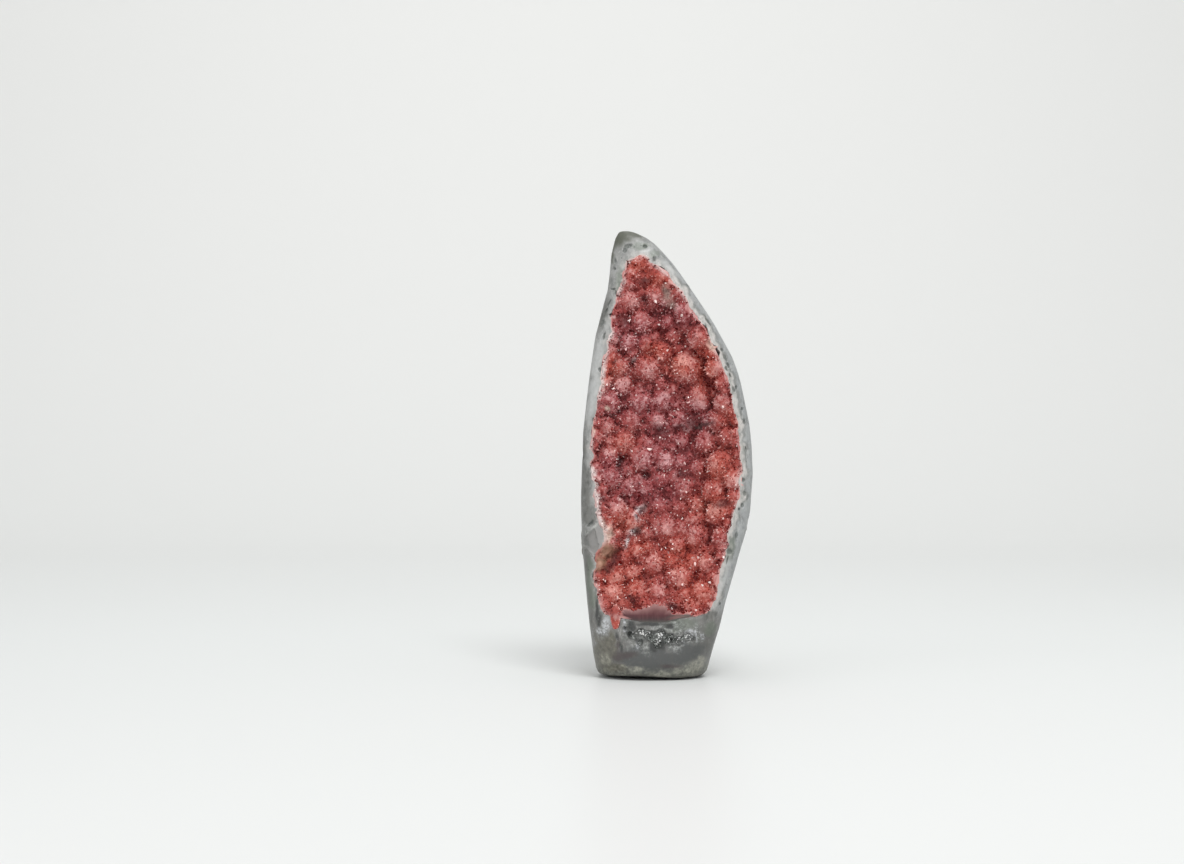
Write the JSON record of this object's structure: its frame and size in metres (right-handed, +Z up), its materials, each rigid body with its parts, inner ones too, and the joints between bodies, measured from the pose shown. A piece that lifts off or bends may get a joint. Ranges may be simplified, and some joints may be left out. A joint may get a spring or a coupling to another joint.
{
  "type": "crystal geode specimen",
  "caption": "Upright geode half with a flat sawn base: a stone shell, ground smooth round the open front, lined with a knobby crust of small red crystals.",
  "frame": {"origin": "on the underside of the flat base, under the middle of its outline", "axes": "+Z up the specimen from its base to its tip, -Y out of the open front, +X to the right of a viewer facing the front"},
  "size_m": [0.088, 0.0668, 0.2296],
  "materials": {
    "ground_stone": "ground smooth and lightly polished in front, rough behind",
    "red_crystal": "fine sparkling crystal points"
  },
  "bodies": {
    "root": {"stone_shell": "ground_stone", "crystal_crust": "red_crystal"}
  },
  "joints": []
}
